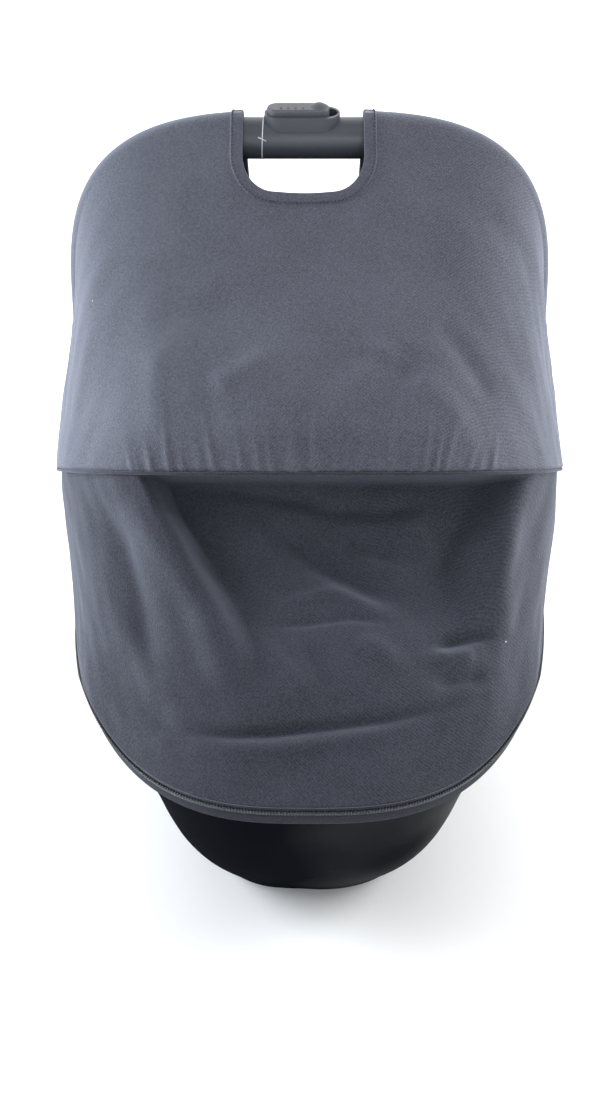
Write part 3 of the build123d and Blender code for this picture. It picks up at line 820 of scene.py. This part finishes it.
def make_hood_front(materials):
    """Front panel of the hood, from over the handle to the hem, with a belly and gathers above the hem."""
    edge = hem_curve(0, 0)
    grid = hood_grid(edge, forward=-1, wrap_angle=50, sag=0.008, bulge=0.002, columns=361, rows=150)
    s, t = panel_shares(*grid.shape[:2])
    u, v = grid_lengths(grid)
    normal = grid_normals(grid, (0, -1, 0.5))
    free = smooth((t - 0.10) / 0.15) * smooth((1.0 - np.abs(s)) / 0.12)
    small = 0.0007 * waves(u, v, 3, 0.11, 7)
    lift = free * (hood_folds(front_view(grid)) + small + 0.00025 * waves(u, v, 4, 0.03, 9))
    lift += hem_gathers(s, t, 5)
    belly = smooth((t - 0.40) / 0.45) * smooth((1 - t) / 0.11) * smooth((0.58 - np.abs(s)) / 0.40)
    lift += HOOD_BELLY * belly
    tuck = smooth((t - 0.985) / 0.015)
    grid = grid + normal * (lift - HEM_TUCK * tuck)[..., None]
    whole, tape, stitches = finish_hood("hood_front", grid, True, materials, "canopy_front")
    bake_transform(whole)
    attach(tape, HANDLE)
    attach(stitches, HANDLE)


def make_hem_shade_line(materials):
    """Dark line under the lower edge of the hood: a thin near-black strip in the thread colour, painted as
    the shade where the hem overhangs the apron.
    """
    path = resample(hem_curve(SHADE_LINE_OUT, SHADE_LINE_LIFT), 400)
    normals = resample(hem_curve(SHADE_LINE_OUT + OUTWARD_STEP, SHADE_LINE_LIFT), 400) - path
    shade_line = sweep("hem_shade_line", path, normals, pill(SHADE_LINE_WIDTH, SHADE_LINE_HEIGHT, 6))
    dress(shade_line, materials["thread"], HOOP)


def make_hood_rear(materials):
    """Rear panel of the hood, from over the handle down to the rim round the head end."""
    edge = rim_curve(np.radians(np.linspace(268, 92, 500)), REAR_EDGE_OUT, REAR_EDGE_UP)
    grid = hood_grid(edge, forward=1, wrap_angle=36, sag=0.010, bulge=0.009, columns=361, rows=170)
    s, t = panel_shares(*grid.shape[:2])
    u, v = grid_lengths(grid)
    normal = grid_normals(grid, (0, 0.6, 1))
    free = smooth((t - 0.08) / 0.15) * smooth((1 - t) / 0.10) * smooth((1.0 - np.abs(s)) / 0.15)
    lift = free * (0.0012 * waves(u, v, 11, 0.14, 7) + 0.0003 * waves(u, v, 12, 0.035, 9))
    for line in ([(-0.55, 0.55), (0.0, 0.78)], [(0.55, 0.50), (0.05, 0.74)]):
        lift += free * fold((s, t), line, 0.06, 0.0025)
    grid = grid + normal * lift[..., None]
    for piece in finish_hood("hood_rear", grid, False, materials, "canopy_rear"):
        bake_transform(piece)


def apron_edges(columns):
    """Lower and upper edge of the apron, which also close the corners below the hubs."""
    angle = np.radians(np.linspace(-91, 91, 800))
    spread = APRON_OUT + APRON_CORNER_OUT * smooth((np.degrees(np.abs(angle)) - 84) / 6)
    low = rim_curve(angle, spread, APRON_UP)
    hem = hem_curve(-APRON_INSIDE_HEM, APRON_INSIDE_HEM)
    back = np.linspace(0, 1, 40)[1:, None]
    tail = hem[-1] + back * (np.array(APRON_CORNER) - hem[-1])
    tail_left = tail[::-1] * [-1, 1, 1]
    high = np.concatenate([tail_left, hem, tail])
    return resample(low, columns), resample(high, columns)


def apron_hollow(view):
    """Share of the hollow under the hem, with a sharp near side and a soft far side."""
    across, down = view
    near = np.interp(down, [-0.061, -0.049, -0.030, 0.001, 0.027, 0.053, 0.100],
                     [-0.151, -0.145, -0.137, -0.119, -0.105, -0.088, -0.066])
    far = np.interp(down, [-0.061, -0.041, -0.006, 0.047, 0.100], [0.201, 0.194, 0.178, 0.173, 0.168])
    sides = smooth((across - near) / 0.0247) * smooth((far - across) / 0.0528)
    return sides * smooth((down + 0.0731) / 0.0123) * smooth((0.1392 - down) / 0.1541)


def apron_folds(view):
    """Creases of the apron. Each has its line, its width and its height."""
    lines = (
        ([(-0.165, -0.048), (-0.148, -0.024), (-0.125, 0.004),
          (-0.095, 0.052), (-0.079, 0.096), (-0.065, 0.135)], 0.0150, 0.0050),
        ([(-0.193, -0.054), (-0.181, -0.031), (-0.167, -0.004),
          (-0.149, 0.057), (-0.136, 0.109)], 0.0123, -0.0066),
        ([(-0.083, -0.051), (-0.044, -0.047), (-0.008, -0.041),
          (0.022, -0.033), (0.066, -0.031), (0.106, -0.037)], 0.0088, -0.0042),
        ([(0.066, -0.026), (0.090, -0.017), (0.104, 0.003), (0.106, 0.031)], 0.0097, 0.0030),
        ([(0.022, -0.004), (0.055, 0.001), (0.081, 0.010)], 0.0115, -0.0090),
        ([(-0.042, -0.026), (0.003, 0.010), (0.040, 0.027),
          (0.066, 0.041), (0.089, 0.052)], 0.0132, -0.0110),
        ([(-0.038, 0.065), (-0.012, 0.049), (0.022, 0.041),
          (0.050, 0.052), (0.071, 0.063)], 0.0070, 0.0028),
        ([(-0.042, 0.070), (0.000, 0.067), (0.036, 0.063), (0.076, 0.066)], 0.0044, -0.0026),
        ([(-0.045, 0.082), (-0.033, 0.095), (-0.010, 0.124), (0.002, 0.145)], 0.0088, 0.0026),
        ([(-0.008, 0.082), (0.007, 0.104), (0.022, 0.135)], 0.0088, -0.0034),
        ([(0.037, 0.082), (0.062, 0.094), (0.081, 0.105)], 0.0106, 0.0038),
        ([(0.106, 0.086), (0.134, 0.083), (0.166, 0.079)], 0.0062, -0.0056),
        ([(0.104, 0.100), (0.124, 0.100), (0.148, 0.097)], 0.0070, 0.0052),
        ([(0.106, 0.119), (0.128, 0.118), (0.159, 0.114)], 0.0070, -0.0040),
        ([(0.187, -0.041), (0.176, -0.002), (0.170, 0.047), (0.168, 0.091)], 0.0097, 0.0030),
        ([(-0.132, 0.159), (-0.105, 0.164), (-0.070, 0.166), (-0.034, 0.165),
          (0.017, 0.159), (0.062, 0.153), (0.150, 0.135)], 0.0062, -0.0050),
        ([(-0.096, 0.177), (-0.034, 0.179), (0.027, 0.172), (0.097, 0.159)], 0.0079, 0.0027),
        ([(-0.176, 0.082), (-0.149, 0.135), (-0.116, 0.166)], 0.0141, -0.0030),
    )
    return sum(fold(view, line, width, height, 0.3) for line, width, height in lines)


def make_apron(materials):
    """Cover of the foot end, from the zip up to the hem, with its hollow and creases."""
    columns, rows = 421, 170
    low, high = apron_edges(columns)
    s, t = panel_shares(rows, columns)
    grid = low[None] + t[..., None] * (high - low)[None]
    belly = smooth((1 - np.abs(s)) / 0.75)
    lean = 4 * t * (1 - t)
    grid[..., 2] -= APRON_SAG * lean * belly
    grid[..., 1] += APRON_BACK * lean * belly
    side = smooth((np.abs(s) - 0.45) / 0.35)
    grid[..., 0] += np.sign(s) * APRON_SIDE * np.sin(math.pi * t) * side
    hollow = apron_hollow(front_view(grid))
    grid[..., 1] += HOLLOW_BACK * hollow
    grid[..., 2] -= HOLLOW_DOWN * hollow
    u, v = grid_lengths(grid)
    normal = grid_normals(grid, (0, -0.5, 1))
    free = smooth(t / 0.06) * smooth((0.985 - t) / 0.05) * smooth((1.0 - np.abs(s)) / 0.15)
    small = 0.0011 * waves(u, v, 21, 0.10, 7) + 0.0003 * waves(u, v, 22, 0.03, 9)
    lift = free * (apron_folds(front_view(grid)) + small)
    grid = grid + normal * lift[..., None]
    apron = grid_object("apron_cover", grid)
    thicken(apron, CLOTH)
    # Its material is the hood's cloth painted darker as shade.
    dress(apron, materials["apron_fabric"], SEAT)
    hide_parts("apron")
    declare_sheet(apron, grid)


def rim_path(angle, outward, upward):
    """Path beside the rim, with normals that point away from the hull."""
    path = rim_curve(angle, outward, upward)
    return path, rim_curve(angle, outward + OUTWARD_STEP, upward) - path


def make_edge_trim(materials):
    """Rolled edge of the cover round the rim, and the zip above it with its teeth."""
    path, normals = rim_path(np.radians(np.linspace(0, 360, 721)[:-1]), ROLL_OUT, ROLL_UP)
    roll = sweep("rim_roll", path, normals, pill(ROLL_WIDTH, ROLL_HEIGHT), closed=True)
    dress(roll, materials["rim_tape"], SEAT)
    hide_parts("cover_edge")

    path, normals = rim_path(np.radians(np.linspace(-ZIP_END, ZIP_END, 600)), ZIP_OUT, ZIP_UP)
    tape = sweep("zip_tape", path, normals, pill(ZIP_WIDTH, ZIP_HEIGHT))
    dress(tape, materials["zip"], SEAT)
    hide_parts("zip_chain")

    path, normals = rim_path(np.radians(np.linspace(-ZIP_END, ZIP_END, 3000)), TOOTH_OUT, ZIP_UP)
    normals /= np.linalg.norm(normals, axis=1, keepdims=True)
    teeth = stitch_row("zip_teeth", path, normals, TOOTH_LENGTH, TOOTH_RADIUS)
    dress(teeth, materials["teeth"], SEAT)


def make_tag_thread(materials):
    """Thin thread tied once round the handle, with a small knot."""
    low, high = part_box("handle_tube")
    radius = (high.y - low.y) / 2 + 0.0005
    centre_z = TUBE_TOP - radius + 0.0005
    curve = bpy.data.curves.new("tag_thread", "CURVE")
    curve.dimensions = "3D"
    curve.bevel_depth = TAG_RADIUS
    curve.bevel_resolution = 2
    loop = curve.splines.new("NURBS")
    turns = np.radians(np.linspace(0, 360, 33)[:-1])
    loop.points.add(len(turns) - 1)
    for point, a in zip(loop.points, turns):
        x = TAG_X + 0.0009 * math.sin(a)
        point.co = (x, HUB_Y + radius * math.cos(a), centre_z + radius * math.sin(a), 1)
    loop.use_cyclic_u = True
    for side in (-1, 1):
        end = curve.splines.new("NURBS")
        end.points.add(3)
        for k, point in enumerate(end.points):
            out = 0.0006 + 0.0008 * k
            x = TAG_X + side * 0.0011 * k
            point.co = (x, HUB_Y - radius - out * 0.5, centre_z - 0.0005 * side * k, 1)
        end.use_endpoint_u = True
    thread = bpy.data.objects.new("tag_thread", curve)
    bpy.context.scene.collection.objects.link(thread)
    mesh = bpy.data.meshes.new_from_object(thread)
    bpy.data.objects.remove(thread)
    mesh.uv_layers.new(name="cloth")
    thread = bpy.data.objects.new("tag_thread", mesh)
    bpy.context.scene.collection.objects.link(thread)
    dress(thread, materials["tag_thread"], HANDLE)


# ---------------------------------------------------------------- padded pieces


def inflate(obj, pressure, cap, frames=14):
    """Swells a closed mesh by cloth simulation, with a cap on how far a point moves."""
    rest = np.array([v.co for v in obj.data.vertices])
    cloth = obj.modifiers.new("cloth", "CLOTH")
    cloth.settings.use_pressure = True
    cloth.settings.uniform_pressure_force = pressure
    cloth.settings.effector_weights.gravity = 0
    cloth.settings.quality = 4
    scene = bpy.context.scene
    for number in range(1, frames + 1):
        scene.frame_set(number)
    apply_modifiers(obj)
    scene.frame_set(1)
    moved = np.array([v.co for v in obj.data.vertices])
    step = moved - rest
    size = np.linalg.norm(step, axis=1, keepdims=True)
    step *= np.minimum(1, cap / np.maximum(size, 1e-9))
    obj.data.vertices.foreach_set("co", (rest + step).ravel())
    obj.data.update()


def finish_pad(obj, node, materials, pressure, cap):
    """Swells a pad of the seat, gives it its lining and its body, and hides its CAD node."""
    inflate(obj, pressure, cap)
    dress(obj, materials["lining"], SEAT)
    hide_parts(node)


def pad(name, node, materials, power, crown, pressure):
    """Filled pad in the space of a CAD node: an oval plan with a crown and a piped seam line."""
    low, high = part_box(node)
    centre = (low + high) / 2
    half = (high - low) / 2
    rings, columns = 25, 96
    grid = []
    for i in range(rings):
        tilt = math.pi * i / (rings - 1) - math.pi / 2
        c = max(abs(math.cos(tilt)), 1e-4) ** (2 / 5.0)
        h = math.copysign(abs(math.sin(tilt)) ** (2 / crown), math.sin(tilt))
        angle = np.linspace(0, 2 * math.pi, columns + 1)[:-1]
        x, y = superellipse(angle, half.x * 0.985 * c, half.y * 0.985 * c, power)
        seam = 1 - 0.012 * math.exp(-((tilt / 0.10) ** 2))
        z = np.full(columns, centre.z + half.z * 0.94 * h)
        grid.append(np.stack([centre.x + x * seam, centre.y + y * seam, z], -1))
    obj = grid_object(name, np.array(grid), closed=True)
    mesh = bmesh.new()
    mesh.from_mesh(obj.data)
    bmesh.ops.remove_doubles(mesh, verts=mesh.verts, dist=0.0004)
    bmesh.ops.recalc_face_normals(mesh, faces=mesh.faces)
    mesh.to_mesh(obj.data)
    mesh.free()
    finish_pad(obj, node, materials, pressure, cap=0.0015)


def soften(name, node, materials, cell, pressure):
    """Padded piece in the space of a CAD node: its shape relaxed, then swelled a little."""
    source = frame["nodes"][node]
    mesh = source.data.copy()
    mesh.transform(source.matrix_world)
    mesh.materials.clear()
    obj = bpy.data.objects.new(name, mesh)
    bpy.context.scene.collection.objects.link(obj)
    shape = obj.modifiers.new("shape", "REMESH")
    shape.mode = "VOXEL"
    shape.voxel_size = cell
    relax = obj.modifiers.new("relax", "SMOOTH")
    relax.iterations = 6
    apply_modifiers(obj)
    while obj.data.uv_layers:
        obj.data.uv_layers.remove(obj.data.uv_layers[0])
    layer = obj.data.uv_layers.new(name="cloth")
    for loop in obj.data.loops:
        x, y, z = obj.data.vertices[loop.vertex_index].co
        layer.data[loop.index].uv = (x, y + z)
    for polygon in obj.data.polygons:
        polygon.use_smooth = True
    finish_pad(obj, node, materials, pressure, cap=0.0010)


# ---------------------------------------------------------------- studio


def make_stage():
    """White floor that curves up into a backdrop."""
    profile = [(-4.0, 0.0), (3.0, 0.0), (4.2, 0.25), (5.0, 1.0), (5.3, 2.2), (5.3, 6.0)]
    curve = resample(np.array(profile), 40)
    xs = np.linspace(-7, 7, 3)
    grid = np.array([[(x, y, z) for x in xs] for y, z in curve])
    floor = grid_object("studio_floor", grid)
    n = Nodes("studio_white")
    n.set(Base_Color=(0.93, 0.93, 0.93, 1), Roughness=0.9)
    floor.data.materials.append(n.material)


def area_light(name, place, target, size, power, colour=(1, 1, 1)):
    data = bpy.data.lights.new(name, "AREA")
    data.shape = "RECTANGLE"
    data.size, data.size_y = size
    data.energy = power
    data.color = colour
    light = bpy.data.objects.new(name, data)
    light.location = place
    light.rotation_euler = (Vector(target) - Vector(place)).to_track_quat("-Z", "Y").to_euler()
    bpy.context.scene.collection.objects.link(light)


def make_light():
    world = bpy.data.worlds.new("studio")
    world.use_nodes = True
    world.node_tree.nodes["Background"].inputs["Color"].default_value = (0.93, 0.96, 1.0, 1)
    world.node_tree.nodes["Background"].inputs["Strength"].default_value = 0.5
    bpy.context.scene.world = world
    area_light("top_box", (0, 0.9, 2.3), (0, 0.2, 0.3), (2.4, 2.0), 15)
    area_light("near_box", (0.05, -0.42, 1.12), (0, -0.10, 0.50), (0.7, 0.3), 0.8)
    area_light("front_box", (0.2, -2.3, 0.55), (0, -0.2, 0.42), (1.8, 0.8), 18)
    area_light("left_box", (-1.5, -0.10, 0.70), (0, -0.1, 0.34), (0.8, 1.3), 46, (0.90, 0.95, 1.0))
    area_light("right_box", (1.5, 0.05, 0.72), (0, -0.1, 0.34), (0.8, 1.3), 32)
    area_light("back_box", (0, 2.2, 3.4), (0, 4.9, 0.9), (5.0, 1.5), 260)


def make_camera():
    """Camera a metre in front of the foot end, at handle height, tipped down."""
    data = bpy.data.cameras.new("camera")
    data.sensor_width = 36.0
    data.lens = EYE_LENS
    data.shift_x = EYE_SHIFT
    camera = bpy.data.objects.new("camera", data)
    camera.location = EYE
    camera.rotation_euler = (math.pi / 2 - EYE_TILT, 0, 0)
    bpy.context.scene.collection.objects.link(camera)
    bpy.context.scene.camera = camera


bpy.context.scene.view_settings.view_transform = "Standard"
make_camera()
make_stage()
make_light()
MATERIALS = make_materials()
dress_frame(MATERIALS)
make_hood_front(MATERIALS)
make_hem_shade_line(MATERIALS)
make_hood_rear(MATERIALS)
make_edge_trim(MATERIALS)
make_apron(MATERIALS)
make_tag_thread(MATERIALS)
pad("bed_pad", "mattress", MATERIALS, power=2.7, crown=5.0, pressure=1.5)
pad("head_pad", "head_pillow", MATERIALS, power=3.0, crown=2.4, pressure=2.0)
for side in ("left", "right"):
    soften("shoulder_cushion_" + side, "shoulder_pad_" + side, MATERIALS, cell=0.0016, pressure=1.5)
soften("crotch_cushion", "crotch_pad", MATERIALS, cell=0.0006, pressure=0.5)
